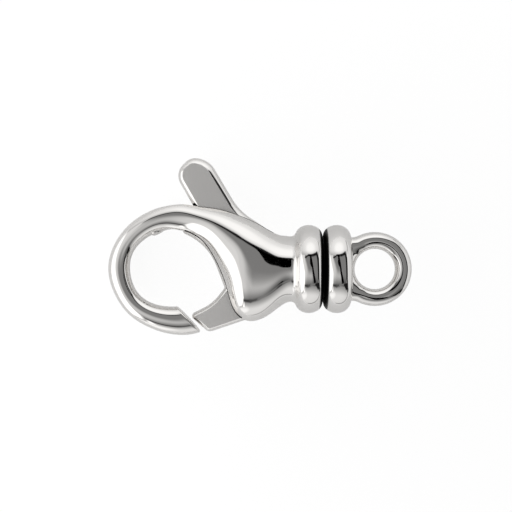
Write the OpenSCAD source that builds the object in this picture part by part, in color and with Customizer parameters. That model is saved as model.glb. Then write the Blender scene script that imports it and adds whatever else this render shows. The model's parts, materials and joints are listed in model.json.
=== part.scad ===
// Swivel clasp: a cast hook with a sprung trigger, and an eye that turns on the neck.
// It is drawn flat first: X runs from the hook to the eye along the swivel's axis, Y is across
// the hook, Z is through its thickness, and X = 0 is the narrowest place of the neck.
// Last, the whole clasp is tipped to the attitude in which it lies on a flat surface.

/* [Body] */
// Radius of the round neck at its narrowest
neck_r = 2.45; // [2.3:0.01:2.55]
// Factor on the thickness of the hook and the shell
body_fullness = 1; // [0.95:0.01:1.1]
// Radius of the small lip at the end of the slot, inside the hook
lip_r = 0.18; // [0.1:0.01:0.25]

/* [Trigger] */
// Thickness of the trigger's plate
trigger_t = 1.25; // [1:0.05:1.3]
// Radius of the plate's rounded edges, which are made in steps
trigger_edge = 0.2; // [0.05:0.01:0.22]
// Gap between the plate and each wall of the slot
slot_gap = 0.05; // [0.03:0.01:0.08]
// Gap between the hub and the round end of the slot
hub_gap = 0.11; // [0.08:0.01:0.15]
// Radius of the pin that the trigger turns on
pin_r = 0.5; // [0.4:0.01:0.6]
// Length of the pin, which ends inside both cheeks of the shell
pin_len = 3.7; // [3:0.1:3.9]
// Radial play of the trigger on its pin
pin_play = 0.05; // [0.02:0.01:0.08]

/* [Swivel] */
// Outer radius of both collars
collar_r = 3.3; // [3.2:0.01:3.4]
// Radius at which the collars' rounded rims begin
rim_r = 2.42; // [2.38:0.01:2.46]
// Width of each collar along the axis
collar_w = 2.02; // [1.96:0.01:2.08]
// Radius of the thin hub between the collars
hub_disc_r = 2.12; // [1.9:0.01:2.25]
// Length of that hub
hub_disc_w = 0.06; // [0.04:0.01:0.12]
// Play along the axis, at the hub and under the rivet head
end_play = 0.04; // [0.03:0.01:0.06]
// Radius of the post that turns in the neck
post_r = 0.85; // [0.7:0.01:0.95]
// Radial play of the post in its bore
post_play = 0.05; // [0.02:0.01:0.08]
// Radius of the rivet head on the end of the post
head_r = 1.38; // [1.2:0.01:1.4]
// Thickness of the rivet head
head_w = 0.3; // [0.25:0.01:0.34]

/* [Eye] */
// Radius of the circle that the eye's wire follows
eye_ring_r = 2.14; // [2.08:0.01:2.18]
// Radius of the eye's wire
eye_wire_r = 0.63; // [0.6:0.01:0.66]
// Place of the eye's centre along the axis
eye_x = 6.35; // [6.3:0.01:6.4]
// Half the height of the foot where the eye's two legs meet the collar
foot_r = 2.38; // [2.3:0.01:2.4]
// How far the foot's face lies behind the edge of the eye's hole
foot_set_back = 0.12; // [0.1:0.01:0.2]

/* [Hidden] */
$fn = 64;

// Steps between two sections of the body, and sides of each section
steps = 3;
sides = 24;

// Sections of the body from the neck, round the hook, to its open end. Each row holds
// [outer X, outer Y, inner X, inner Y, half thickness, roundness], where a roundness of 2 is an
// ellipse and more is a fuller section. The first row is inside the collar.
SECTIONS = [
    [  0.52, neck_r + 0.08, 0.52, -neck_r - 0.08, neck_r + 0.08, 2.0],
    [  0.00, neck_r, 0.00, -neck_r, neck_r, 2.0],
    [ -0.76,  2.59,  -1.50, -3.41,  2.57, 2.2],
    [ -1.50,  2.94,  -3.00, -3.91,  2.64, 2.3],
    [ -1.91,  3.18,  -3.60, -3.79,  2.64, 2.4],
    [ -2.26,  3.36,  -4.01, -3.43,  2.60, 2.4],
    [ -2.63,  3.58,  -4.32, -2.94,  2.52, 2.4],
    [ -3.52,  3.97,  -4.76, -1.47,  2.26, 2.4],
    [ -4.66,  4.40,  -5.42,  0.16,  1.91, 2.3],
    [ -5.79,  4.69,  -6.25,  1.57,  1.57, 2.2],
    [ -6.93,  4.86,  -7.14,  2.30,  1.30, 2.1],
    [ -8.03,  4.88,  -8.10,  2.71,  1.13, 2.1],
    [ -9.30,  4.76,  -9.06,  2.90,  1.04, 2.0],
    [-10.60,  4.32,  -9.97,  2.74,  0.98, 2.0],
    [-12.04,  3.35, -10.94,  2.19,  0.91, 2.0],
    [-13.06,  2.05, -11.65,  1.45,  0.85, 2.0],
    [-13.63,  0.04, -12.01,  0.08,  0.83, 2.0],
    [-13.34, -1.41, -11.82, -0.98,  0.83, 2.0],
    [-12.04, -3.44, -10.99, -2.19,  0.84, 2.0],
    [-10.91, -4.19, -10.20, -2.61,  0.86, 2.0],
    [ -9.60, -4.73,  -9.48, -2.77,  0.88, 2.0],
    [ -8.26, -4.92,  -9.00, -2.81,  0.89, 2.0],
    [ -7.34, -4.92,  -8.75, -2.81,  0.89, 2.0],
    [ -6.79, -4.72,  -8.62, -2.82,  0.89, 2.0],
];

// Pivot of the trigger, and the radius of its hub
pivot = [-2.25, 1.43];
trigger_hub_r = 1.6;

// Corners of the trigger's outline, each row [X, Y, radius of the corner]. From the foot of the
// thumb tab down its hidden left side, along the hook's opening, round the gate's nose, round the
// hub, and up the back of the tab.
TRIGGER = [
    [-7.15,  4.56, 0.10],
    [-8.15,  2.77, 0.31],
    [-6.12,  1.79, 4.19],
    [-4.90, -1.40, 0.16],
    [-5.78, -2.57, 3.72],
    [-7.56, -3.44, 0.29],
    [-6.10, -4.73, 0.52],
    [-3.00, -3.69, 0.31],
    [-0.19,  1.98, trigger_hub_r],
    [-3.82,  4.38, 4.38],
    [-6.06,  8.16, 1.78],
    [-7.44,  8.37, 1.04],
    [-8.66,  7.20, 1.15],
];

// Outline of the slot, without its round end: [X, Y] of each corner
SLOT = [
    [-8.61, 2.20], [-7.14, 5.40], [-2.10, 5.40], [-1.14, 3.59], [-0.73, 2.21], pivot, [-0.71, 0.66],
    [-3.04, -4.06], [-4.86, -4.34], [-5.84, -1.55], [-7.14, 0.83], [-8.26, 1.96],
];
slot_w = trigger_t + 2 * slot_gap;
slot_end_r = trigger_hub_r + hub_gap;

// Places along the swivel's axis
collar1_x = 1.38;
collar1_end = collar1_x + collar_w / 2;
hub_disc_x = collar1_end + end_play;
collar2_start = hub_disc_x + hub_disc_w;
collar2_x = collar2_start + collar_w / 2;
foot_end = eye_x - eye_ring_r + eye_wire_r - foot_set_back;
post_end = -0.16;
head_start = post_end - head_w;
cavity_start = -0.83;
cavity_r = head_r + 0.14;
cavity_end = post_end + end_play;

// Shoulder between the neck and the first collar, each row [X, radius]
SHOULDER = [
    [0.10, neck_r], [0.31, neck_r + 0.12], [0.47, neck_r + 0.30], [0.62, neck_r + 0.51],
    [0.78, neck_r + 0.61],
];

// Place of the small lip
lip = [-10.14, 2.70];

// The clasp lies on the first collar and on the fullest place of the shell. The tab's weight turns it
// about the swivel's axis by rest_roll.
rest_roll = -6.5;
hook_end_x = -12.82;
hook_end_r = 0.81;
rim_h = collar_r - rim_r;
rest_tilt = min([for (s = [2:1 / steps:len(SECTIONS) - 1], p = ring(section(SECTIONS, s))) level_angle(p)]);
min_x = hook_end_x * cos(rest_tilt) - hook_end_r;
max_x = (eye_x + eye_ring_r) * cos(rest_tilt) + eye_wire_r;
min_y = -4.89;
max_y = 8.29;
rest_height = rim_r * cos(rest_tilt) - collar1_x * sin(rest_tilt) + rim_h;

// Point between b and c on the smooth curve through a, b, c and d, at t from 0 to 1
function curve(a, b, c, d, t) =
    b + (c - a) * t / 2 + (2 * a - 5 * b + 4 * c - d) * t * t / 2
    + (3 * b - a - 3 * c + d) * t * t * t / 2;

// Row i of a table, carried on in a straight line past both ends
function row(rows, i) =
    let (last = len(rows) - 1)
    i < 0 ? 2 * rows[0] - rows[1] :
    i > last ? 2 * rows[last] - rows[last - 1] : rows[i];

// Section at place s of the table, where a whole s is a row
function section(rows, s) =
    let (i = min(floor(s), len(rows) - 2))
    curve(row(rows, i - 1), row(rows, i), row(rows, i + 1), row(rows, i + 2), s - i);

// Angle to which the clasp is tipped when it lies on the first collar and on point p of the body
function level_angle(p) =
    let (along = collar1_x - p[0], down = rim_r + p[1] * sin(rest_roll) + p[2] * cos(rest_roll))
    asin(rim_h / norm([along, down])) + atan(down / along);

// A number raised to a power, with its sign kept
function signed_pow(a, p) = sign(a) * pow(abs(a), p);

// Points round one section
function ring(sec) =
    let (
        mid = [sec[0] + sec[2], sec[1] + sec[3]] / 2,
        half = [sec[0] - sec[2], sec[1] - sec[3]] / 2,
        p = 2 / sec[5]
    )
    [for (k = [0:sides - 1])
        let (u = signed_pow(cos(360 * k / sides), p), v = signed_pow(sin(360 * k / sides), p))
        [mid[0] + half[0] * u, mid[1] + half[1] * u, sec[4] * body_fullness * v]];

// Triangles between rings i and i + 1 of n points
function band(i, n) =
    [for (k = [0:n - 1]) let (a = i * n + k, b = i * n + (k + 1) % n)
        each [[a, b, a + n], [b, b + n, a + n]]];

// Points along the rounded corner b of the outline a, b, c, at most 12 degrees apart
function corner(a, b, c) =
    let (
        p = [b[0], b[1]],
        u = [a[0] - b[0], a[1] - b[1]] / norm([a[0] - b[0], a[1] - b[1]]),
        v = [c[0] - b[0], c[1] - b[1]] / norm([c[0] - b[0], c[1] - b[1]]),
        half = acos(u * v) / 2,
        centre = p + (u + v) / norm(u + v) * b[2] / sin(half),
        from = p + u * b[2] / tan(half) - centre,
        turn = 180 - 2 * half,
        way = sign(u[1] * v[0] - u[0] * v[1]),
        n = max(1, ceil(turn / 12))
    )
    [for (k = [0:n]) let (q = way * turn * k / n)
        centre + [from[0] * cos(q) - from[1] * sin(q), from[0] * sin(q) + from[1] * cos(q)]];

// Outline with all its corners rounded
function rounded(rows) =
    let (n = len(rows))
    [for (i = [0:n - 1]) each corner(rows[(i + n - 1) % n], rows[i], rows[(i + 1) % n])];

// Outline moved inwards by d, for one that runs counterclockwise
function inset(points, d) =
    let (n = len(points))
    [for (i = [0:n - 1])
        let (
            a = points[i] - points[(i + n - 1) % n],
            b = points[(i + 1) % n] - points[i],
            u = [-a[1], a[0]] / norm(a),
            v = [-b[1], b[0]] / norm(b)
        )
        points[i] + (u + v) * d / (1 + u * v)];

// Half of a collar's profile, an ellipse on the rim's radius, as [X, radius]
function rim_profile(x) =
    [for (q = [0:7.5:180]) [x - collar_w / 2 * cos(q), rim_r + (collar_r - rim_r) * sin(q)]];

// Solid turned about the X axis from a profile of [X, radius]
module turned(profile) {
    rotate([0, 90, 0])
        rotate_extrude(angle = 360, $fn = 96)
            polygon([for (p = profile) [p[1], p[0]]]);
}

// Cylinder along the X axis from x0 to x1
module rod(x0, x1, r) {
    translate([x0, 0, 0])
        rotate([0, 90, 0])
            cylinder(h = x1 - x0, r = r);
}

// Solid of the hook and shell, without the slot and bores
module body_form() {
    count = (len(SECTIONS) - 1) * steps + 1;
    points = [for (i = [0:count - 1]) each ring(section(SECTIONS, i / steps))];
    last = (count - 1) * sides;
    faces = concat(
        [[for (k = [sides - 1:-1:0]) k]],
        [for (i = [0:count - 2]) each band(i, sides)],
        [[for (k = [0:sides - 1]) last + k]]
    );
    polyhedron(points = points, faces = faces);
}

// Space in the shell for the trigger
module slot() {
    translate([0, 0, -slot_w / 2])
        linear_extrude(height = slot_w)
            polygon(SLOT);
    translate([pivot[0], pivot[1], -slot_w / 2])
        cylinder(h = slot_w, r = slot_end_r);
}

module hook_body() {
    color([0.80, 0.79, 0.77])
        rest()
            difference() {
                union() {
                    body_form();
                    turned(concat([[SHOULDER[0][0], 0]], SHOULDER, [[SHOULDER[4][0], 0]]));
                    turned(concat([[collar1_x - collar_w / 2, 0]], rim_profile(collar1_x),
                        [[collar1_end, 0]]));
                    translate([lip[0], lip[1], -slot_w / 2])
                        cylinder(h = slot_w, r = lip_r);
                }
                slot();
                rod(post_end, collar2_x, post_r + post_play);
                rod(cavity_start, cavity_end, cavity_r);
                translate([pivot[0], pivot[1], -pin_len / 2])
                    cylinder(h = pin_len, r = pin_r);
            }
}

// Flat plate of thickness t, centred on the clasp's mid-plane
module plate(points, t) {
    translate([0, 0, -t / 2])
        linear_extrude(height = t)
            polygon(points);
}

module trigger() {
    outline = rounded(TRIGGER);
    color([0.68, 0.67, 0.65])
        rest()
            difference() {
                for (q = [0, 40, 90])
                    plate(inset(outline, trigger_edge * (1 - cos(q))),
                        trigger_t - 2 * trigger_edge * (1 - sin(q)));
                translate([pivot[0], pivot[1], -trigger_t])
                    cylinder(h = 2 * trigger_t, r = pin_r + pin_play);
            }
}

module pivot_pin() {
    color([0.60, 0.59, 0.57])
        rest()
            translate([pivot[0], pivot[1], -pin_len / 2])
                cylinder(h = pin_len, r = pin_r);
}

module swivel_eye() {
    color([0.84, 0.83, 0.81])
        rest()
            union() {
                turned(concat([[collar2_start, 0]], rim_profile(collar2_x),
                    [[collar2_x + collar_w / 2, 0]]));
                rod(hub_disc_x, collar2_x, hub_disc_r);
                rod(head_start, collar2_x, post_r);
                rod(head_start, post_end, head_r);
                intersection() {
                    rod(collar2_x, foot_end, foot_r);
                    translate([collar2_x, -foot_r, -eye_wire_r])
                        cube([foot_end - collar2_x, 2 * foot_r, 2 * eye_wire_r]);
                }
                translate([eye_x, 0, 0])
                    rotate_extrude(angle = 360, $fn = 96)
                        translate([eye_ring_r, 0])
                            circle(r = eye_wire_r, $fn = 32);
            }
}

// Tips the clasp onto its first collar and its shell, and brings it over the origin
module rest() {
    translate([-(min_x + max_x) / 2, -(min_y + max_y) / 2, rest_height])
        rotate([0, -rest_tilt, 0])
            rotate([rest_roll, 0, 0])
                children();
}

hook_body();
trigger();
pivot_pin();
swivel_eye();
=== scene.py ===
"""Swivel clasp: finished pieces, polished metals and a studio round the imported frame.

The pieces are worked out in the clasp's own drawing, in millimetres: X from the hook to the eye
along the swivel's axis, Y across the hook, Z through its thickness, and X = 0 at the narrowest place
of the neck. to_row() takes them to the frame, in metres, tipped as the clasp lies.
"""

import json
import math

import bmesh
import bpy
import numpy as np
from bpy.props import FloatProperty, FloatVectorProperty, IntProperty, PointerProperty
from mathutils import Matrix, Vector
from mathutils.geometry import tessellate_polygon


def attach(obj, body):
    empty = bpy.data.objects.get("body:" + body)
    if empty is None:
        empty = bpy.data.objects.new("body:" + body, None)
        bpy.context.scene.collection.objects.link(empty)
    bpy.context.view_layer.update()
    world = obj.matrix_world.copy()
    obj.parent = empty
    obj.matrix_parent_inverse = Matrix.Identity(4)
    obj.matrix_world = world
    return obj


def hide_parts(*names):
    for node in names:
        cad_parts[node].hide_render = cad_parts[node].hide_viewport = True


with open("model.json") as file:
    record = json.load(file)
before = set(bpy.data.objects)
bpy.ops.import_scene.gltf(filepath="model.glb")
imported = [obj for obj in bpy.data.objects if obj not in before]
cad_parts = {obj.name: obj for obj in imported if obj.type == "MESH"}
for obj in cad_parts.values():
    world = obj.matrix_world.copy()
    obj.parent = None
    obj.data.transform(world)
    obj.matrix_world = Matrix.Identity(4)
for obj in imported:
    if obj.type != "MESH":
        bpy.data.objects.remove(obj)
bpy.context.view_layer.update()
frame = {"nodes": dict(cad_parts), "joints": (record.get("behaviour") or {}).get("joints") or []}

bl_info = {
    "name": "Swivel Clasp",
    "version": (1, 0, 0),
    "blender": (4, 5, 0),
    "location": "3D View > Sidebar > Clasp",
    "description": "Builds the finished pieces, the metals and the studio of a cast swivel clasp",
    "category": "Add Mesh",
}

MM = 0.001
# Points of a piece that are nearer than this are one
DOUBLES_MM = 2e-4

# Places of the drawing in the frame, from the clasp's two joints
JOINTS = {joint["name"]: joint for joint in frame["joints"]}
AXIS_X = np.array(JOINTS["swivel_spin"]["axis"])
AXIS_Z = -np.array(JOINTS["trigger_hinge"]["axis"])
AXIS_Y = np.cross(AXIS_Z, AXIS_X)
# X of the first collar's middle, where the swivel's joint is
COLLAR1_X = 1.38
DRAWING_ORIGIN = np.array(JOINTS["swivel_spin"]["pos_m"]) - COLLAR1_X * MM * AXIS_X

# Collars: X of the second one's middle, half width, outer radius and that of the middle of the
# rounded rim, and the neck's radius
COLLAR2_X = 3.50
COLLAR_HALF_W = 1.01
COLLAR_R = 3.30
RIM_R = 2.42
NECK_R = 2.45
# Thin hub between the collars: X of both sides and the radius
HUB_DISC = (2.43, 2.49, 2.12)

# Sections of the body from the neck, round the hook, to its open end. Each row holds
# [outer X, outer Y, inner X, inner Y, half thickness, roundness], where a roundness of 2 is an
# ellipse and more is a fuller section.
SECTIONS = np.array([
    [0.00, 2.45, 0.00, -2.45, 2.45, 2.0],
    [-0.76, 2.59, -1.50, -3.41, 2.57, 2.2],
    [-1.50, 2.94, -3.00, -3.91, 2.64, 2.3],
    [-1.91, 3.18, -3.60, -3.79, 2.64, 2.4],
    [-2.26, 3.36, -4.01, -3.43, 2.60, 2.4],
    [-2.63, 3.58, -4.32, -2.94, 2.52, 2.4],
    [-3.52, 3.97, -4.76, -1.47, 2.26, 2.4],
    [-4.66, 4.40, -5.42, 0.16, 1.91, 2.3],
    [-5.79, 4.69, -6.25, 1.57, 1.57, 2.2],
    [-6.93, 4.86, -7.14, 2.30, 1.30, 2.1],
    [-8.03, 5.04, -8.10, 2.64, 1.13, 2.1],
    [-9.30, 4.89, -9.06, 2.80, 1.04, 2.0],
    [-10.60, 4.35, -9.97, 2.71, 0.98, 2.0],
    [-12.04, 3.35, -10.94, 2.19, 0.91, 2.0],
    [-13.06, 2.05, -11.65, 1.45, 0.85, 2.0],
    [-13.63, 0.04, -12.01, 0.08, 0.83, 2.0],
    [-13.34, -1.41, -11.82, -0.98, 0.83, 2.0],
    [-12.04, -3.44, -10.99, -2.19, 0.84, 2.0],
    [-10.91, -4.19, -10.20, -2.61, 0.86, 2.0],
    [-9.60, -4.73, -9.48, -2.77, 0.88, 2.0],
    [-8.26, -4.92, -9.00, -2.81, 0.89, 2.0],
    [-7.34, -4.92, -8.75, -2.81, 0.89, 2.0],
    [-6.79, -4.72, -8.62, -2.82, 0.89, 2.0],
])

# Trigger's pivot and the radius of its hub, the slot's half width, and the radius of its wall round
# the hub
PIVOT = np.array([-2.25, 1.43])
HUB_R = 1.60
SLOT_HALF_W = 0.675
SLOT_END_R = 1.71
# Places on the outer and inner edge where the slot starts, by the neck, and ends, at the hook's top
SLOT_OUTER_X = (-0.86, -7.38)
SLOT_INNER_X = (-2.97, -8.35)

# Slot's wall round the hub: its first and last angle in degrees, and its points
SLOT_HUB = (27, -26.6, 20)
# Most that the flat edge's half width may be of the half thickness: just past the neck, at the slot's
# end and further round the hook, and the lengths over which the first and the last of these set in
RIM_SHARES = (0.9, 0.72, 0.42)
RIM_LENGTHS = (0.3, 4.0)
# Rings of the first collar's flat face, as shares of the way from its middle to its rim
FACE_SHARES = np.array([0, 0.35, 0.7, 0.9])
# Rings over which the slot's rounded edges grow from the closed surface
OPENING_RINGS = 12
# Lengths over which the closed edge rounds off, before and past the slot, on the outer side (1) and
# the inner (-1)
ROUND_OFF = {1: (1.2, 4.5), -1: (1.2, 2.0)}

# Painted shade along the slot's edges, a dark line where the cheeks meet the trigger: faces across its
# outer and its inner edge, and rings left out at each end
DARK_OUTER, DARK_INNER, DARK_START = 6, 8, 8

# Small lip at the slot's end, inside the hook: its two ends, how blunt it is, and its height against
# its width
LIP = (np.array([-10.38, 2.63, 0.0]), np.array([-9.45, 2.96, 0.0]))
LIP_BLUNT = 0.6
LIP_TALL = 2.6

# Bore and cavity in the neck for the eye's post and its rivet head: X of both ends, and the radius
NECK_BORE = ((-0.16, 3.0), 0.90)
NECK_CAVITY = ((-0.83, -0.12), 1.52)
# Rivet head: X of both ends and its radius, and the radius of the post
HEAD_X = (-0.46, -0.16)
HEAD_R = 1.38
POST_R = 0.85

# Corners of the trigger's outline, each row [X, Y, radius of the corner], from the foot of the thumb
# tab down its hidden left side, along the hook's opening, round the gate's nose, round the hub, and
# up the back of the tab
TRIGGER = [
    [-7.15, 4.56, 0.10],
    [-8.15, 2.77, 0.31],
    [-6.12, 1.79, 4.19],
    [-4.90, -1.40, 0.16],
    [-5.78, -2.57, 3.72],
    [-7.56, -3.44, 0.29],
    [-6.10, -4.73, 0.52],
    [-3.00, -3.69, 0.31],
    [-0.19, 1.98, HUB_R],
    [-3.82, 4.38, 4.38],
    [-6.06, 8.16, 1.78],
    [-7.44, 8.37, 1.04],
    [-8.66, 7.20, 1.15],
]
# Trigger's half thickness, the pin, and the bore that the pin sits in
TRIGGER_HALF_T = 0.625
PIN_R = 0.50
PIN_HALF_LENGTH = 1.85
BORE_R = 0.55
# The tab's edge is wider than the gate's: Y where that sets in, over what length, and the direction
# that the tab's back faces
TAB_Y, TAB_BLEND = 2.6, 1.5
TAB_BACK = [0.83, 0.56]
# The back's width sets in as the edge turns to that direction: its share is BACK_START plus the
# outward direction's part along TAB_BACK over BACK_SPAN
BACK_START, BACK_SPAN = 0.15, 0.8

# Eye's ring: X of its middle, the radius of the wire's middle line, and the wire's own radius
EYE_X = 6.35
EYE_RING_R = 2.14
EYE_WIRE_R = 0.63

# Drawing X between which the collars' sides are painted dark as shade, and how soft those limits are
GAP_X = (2.14, 2.74)
GAP_SOFT = 0.05

# Noises of the metal: waves a millimetre, how they are drawn out along X, Y and Z, and detail
CLOUD = (0.7, (1, 1, 1), 1)
HAIR = (9.0, (6, 0.6, 1), 4)
GRAIN = (7.0, (0.35, 5.0, 1), 5)
# Z between which the trigger's polished edge goes over to its satin flat
SATIN_Z = (0.612, 0.620)
# Least roughness of the pin, and the height of its drawing marks
DRAWN_ROUGHNESS = 0.22
DRAWN_BUMP_MM = 0.004

# Tent that stands round the clasp with the studio's lights on its inside
TENT_CENTRE = np.array([0.5, 0.0, 2.4])
TENT_R = 60.0

# Places on the tent are in degrees to the right of and above the line from its middle to the camera.
# Dome-shaped softboxes: [place, reach, roundness], a halo and a brighter spot, both as [middle, half
# sizes], the halo's light, and how far from its base and by what share the dome is darker there
DOMES = (
    ((-5, 36), (73, 68), 2.4, (4, 60, 52, 28), (4, 57, 30, 16), 0.89, (15, 0.34)),
    ((-4, -44), (80, -55), 2.2, (-12, -68, 60, 26), (-44, -70, 22, 14), 0.80, (30, 0.60)),
)
# Share of the tent's light inside a dome, away from its halo. The frame round a dome lies between two
# edges, each given as the sizes of the dome where it sets in and is full, and so does its inside. A
# halo or a spot sets in and is full at these squared distances from its middle.
DOME_BASE = 0.97
DOME_FRAME = ((0.97, 1.0), (1.08, 1.03))
DOME_INSIDE = (1.01, 0.97)
GLOW_EDGE = (1.9, 0.1)
# Softbox at the left and the grey card: left, right, low, high and the softness of those edges. The
# softbox leans: above LEAN_FROM its sides move to the left by LEAN for each degree up.
LEFT_BOX = (-110, -43.4, -62, 40, (16, 5, 3, 26))
LEAN, LEAN_FROM = 0.6, -10
CARD = (-38, 58, -45, 37, (4, 4, 3, 2))
# Shading of the grey card, each part as the angles where it sets in and is full. It is pale past a
# slanting line, where x plus CARD_SLANT times y is low, and where y and x are both low as CARD_LOW
# says. It is palest at the far left of the slanting part, and darker by a share low down.
CARD_SLANT = 0.85
CARD_PALE = (-6, -27)
CARD_LOW = ((4, -20), (32, 6))
CARD_PALEST = (-16, -32)
CARD_FADE = ((-14, -41), 0.62)
# Flags as lines, all dark but the last: [start, end, width at each, softness, light]
FLAGS = (
    ((-38, -43), (-15, -44.5), (7, 8), 7, 0.04),
    ((-15, -44.5), (5, -42), (8, 7), 7, 0.08),
    ((5, -42), (34, -39), (7, 5), 6, 0.20),
    ((-40, -46), (-49, -60), (3, 3), 6, 0.30),
    ((-49, -60), (-82, -66), (3, 3), 8, 0.35),
    ((-38, 31), (-27, 32.5), (4.5, 4.5), 2.5, 0.01),
    ((-27, 32.5), (-14, 37), (4.5, 5), 2.5, 0.01),
    ((-14, 37), (18, 36.5), (5, 7), 2.5, 0.01),
    ((18, 36.5), (46, 40), (7, 9), 4, 0.01),
    ((46, 40), (55, 24), (11, 13), 4, 0.01),
    ((55, 24), (60, -20), (14, 14), 4, 0.01),
    ((60, -20), (72, -52), (9, 10), 4, 0.01),
    ((36, -39), (57, -43), (3, 20), 3, 0.01),
    ((66, 40), (70, -20), (7, 7), 5, 0.85),
)
# Black card that hangs near the clasp, as [X, Y] of its corners, and its Z
NEAR_CARD = ((-1.75, 10.2), (0.1, 9.3), (0.8, 8.3), (0.85, 7.2), (0.8, 6.0), (0.65, 5.0), (0.8, 3.9),
             (1.5, 2.8), (2.4, 1.9), (3.5, 1.4), (4.0, 0.4), (4.4, -1.5), (5.2, -3.5), (6.4, -6.0),
             (8.4, -10.7), (13.5, -10.7), (9.6, -5.0), (7.0, -1.0), (5.8, 2.5), (4.8, 5.2), (4.1, 7.2),
             (3.4, 10.0), (-1.6, 11.4))
NEAR_CARD_Z = 15.0

# Camera: middle of the view in the drawing, its height above the drawing's plane, half the width of
# the view there, half the width of its sensor, and its range in metres
VIEW_MIDDLE = [-2.55, 0.975]
CAMERA_Z = 75.0
VIEW_HALF_W = 19.2
SENSOR_HALF_W = 18.0
CLIP = (0.005, 2)
# Floor: half its size in metres, and what the camera and the metal see of its glow and its white
FLOOR_HALF = 0.6
FLOOR_GLOW = (0.90, 0.19)
FLOOR_WHITE = (0.20, 0.86)


def to_row(points):
    """Points of the drawing, in millimetres, as places in the frame, in metres."""
    return DRAWING_ORIGIN + MM * (points @ np.array([AXIS_X, AXIS_Y, AXIS_Z]))


def full_turn(sides):
    """Angles of a closed ring with so many sides, from 0 and to a whole turn."""
    return np.linspace(0, 2 * np.pi, sides + 1)


def circle(angle):
    """Points of the unit circle at some angles: their cosines and sines."""
    return np.stack([np.cos(angle), np.sin(angle)], axis=1)


def raised(flat, z):
    """Points [X, Y] with their Z added, which is one for all of them, one a column or one each."""
    return np.concatenate([flat, np.broadcast_to(z, flat.shape[:-1])[..., None]], axis=-1)


def smooth(x):
    """0 to 1 with level ends: 3 x squared less 2 x cubed, and x kept between 0 and 1."""
    x = np.clip(x, 0, 1)
    return x * x * (3 - 2 * x)


def sections(rings):
    """Columns of the body's rings: outer place, inner place, half thickness and roundness."""
    return rings[:, :2], rings[:, 2:4], rings[:, 4:5], rings[:, 5:6]


def fair(places, rows, weights, count, stiffness, bend):
    """Even, smooth curves past the rows of a table: of all curves of count even samples, the one
    whose weighted squared distances to the rows, plus stiffness times the integral of its squared
    third derivative, come to the least. About the place bend the stiffness all but fades, over a
    length of reach, so that the curve may bend suddenly."""
    faded, reach = 0.9995, 0.10
    t = np.linspace(places[0], places[-1], count)
    step = t[1] - t[0]
    at = np.minimum(((places - t[0]) / step).astype(int), count - 2)
    part = (places - t[0]) / step - at
    near = np.zeros((len(rows), count))
    near[np.arange(len(rows)), at] = 1 - part
    near[np.arange(len(rows)), at + 1] = part
    third = np.diff(np.eye(count), 3, axis=0)
    stiff = stiffness / step**5 * (1 - faded * np.exp(-((t[1:-2] - bend) / reach) ** 2))
    pull = near.T * weights
    return t, np.linalg.solve(pull @ near + third.T @ (stiff[:, None] * third), pull @ rows)


def at_places(t, curves, places):
    """Values of sampled curves at any places along them, joined by straight lines."""
    return np.stack([np.interp(places, t, column) for column in curves.T], axis=1)


def polar(angle, roundness):
    """Point of a unit superellipse in a direction: the cosine and sine of the angle, over the
    roundness-th root of the sum of their powers of that roundness."""
    c, s = np.cos(angle), np.sin(angle)
    reach = (np.abs(c) ** roundness + np.abs(s) ** roundness) ** (-1 / roundness)
    return c * reach, s * reach


def grid_faces(rows, columns):
    """Corners of the faces between the points of a grid whose rows follow one another."""
    first = (np.arange(rows - 1)[:, None] * columns + np.arange(columns - 1)).ravel()
    return np.stack([first, first + 1, first + 1 + columns, first + columns], axis=1)


class Patches:
    """Points and faces of one piece, gathered from grids that share their borders."""

    def __init__(self):
        self.points, self.faces, self.count, self.painted_shade = [], [], 0, set()

    def add_points(self, points):
        """Adds points and says the number of the first one."""
        points = np.asarray(points, float).reshape(-1, 3)
        first = self.count
        self.points.append(points)
        self.count += len(points)
        return first

    def add_grid(self, grid):
        """Adds a grid of points with faces between its neighbours."""
        first = self.add_points(grid)
        self.faces += (grid_faces(*grid.shape[:2]) + first).tolist()

    def mark_painted_shade(self, numbers):
        """Marks faces to be painted dark as shade."""
        self.painted_shade.update(numbers)

    def mesh(self, name):
        """One closed mesh with its doubles merged and its faces outwards, in the frame."""
        mesh = bpy.data.meshes.new(name)
        mesh.from_pydata(to_row(np.concatenate(self.points)).tolist(), [], self.faces)
        # Faces marked for painted shade get a share of 1 in this attribute, which the metal paints dark
        if self.painted_shade:
            share = mesh.attributes.new("painted_shade", "FLOAT", "FACE")
            share.data.foreach_set("value", [float(face in self.painted_shade) for face in range(len(self.faces))])
        shape = bmesh.new()
        shape.from_mesh(mesh)
        bmesh.ops.remove_doubles(shape, verts=shape.verts, dist=DOUBLES_MM * MM)
        bmesh.ops.recalc_face_normals(shape, faces=shape.faces)
        if shape.calc_volume(signed=True) < 0:
            bmesh.ops.reverse_faces(shape, faces=shape.faces)
        shape.to_mesh(mesh)
        shape.free()
        mesh.polygons.foreach_set("use_smooth", np.ones(len(mesh.polygons), bool))
        return mesh


def grid_mesh(grid, name):
    """Closed mesh of one grid of points."""
    shape = Patches()
    shape.add_grid(grid)
    return shape.mesh(name)


def placed(name, data):
    """New object in the scene, at the origin."""
    thing = bpy.data.objects.new(name, data)
    bpy.context.scene.collection.objects.link(thing)
    return thing


def new_piece(name, mesh, body, node, material, sharp):
    """Object that stands for a CAD node, rides on its body and has a metal. Its edges are sharp
    where two faces turn by more than sharp degrees."""
    mesh.set_sharp_from_angle(angle=math.radians(sharp))
    piece = placed(name, mesh)
    mesh.materials.clear()
    mesh.materials.append(material)
    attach(piece, body)
    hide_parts(node)


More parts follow.
